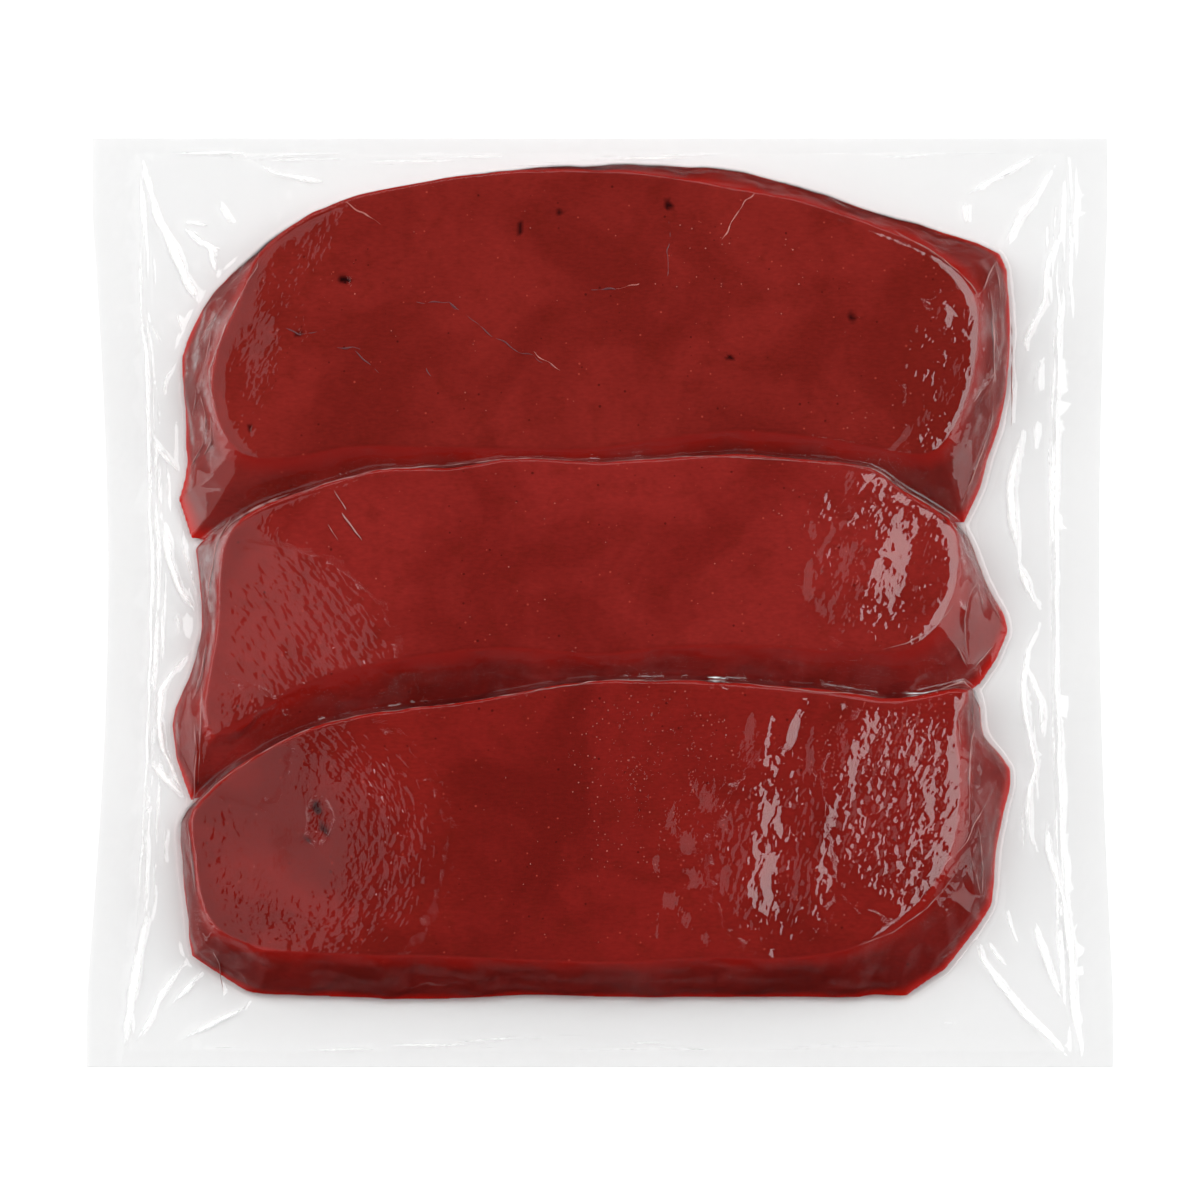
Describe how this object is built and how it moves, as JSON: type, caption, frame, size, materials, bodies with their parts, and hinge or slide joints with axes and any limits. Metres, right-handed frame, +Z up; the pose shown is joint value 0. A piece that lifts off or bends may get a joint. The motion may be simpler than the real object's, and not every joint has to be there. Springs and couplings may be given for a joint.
{
  "type": "vacuum pack of raw beef liver",
  "caption": "Clear vacuum bag with heat-sealed sides, drawn tight over thick slices of raw beef liver laid one over the foot of the next.",
  "frame": {"origin": "under the middle of the bag, on the surface that it rests on", "axes": "+X to the right along the slices, +Y from the front slice towards the back slice, +Z up out of the shown side"},
  "size_m": [0.26, 0.24, 0.0175],
  "materials": {
    "film": "clear glossy vacuum-bag film with fine creases",
    "liver_back": "wet raw liver, dark red-brown, smooth under film",
    "liver_middle": "wet raw liver, dark red-brown, smooth under film",
    "liver_front": "wet raw liver, dark red-brown, smooth under film"
  },
  "bodies": {
    "root": {"pouch": "film", "slice_back": "liver_back", "slice_middle": "liver_middle", "slice_front": "liver_front"}
  },
  "joints": []
}
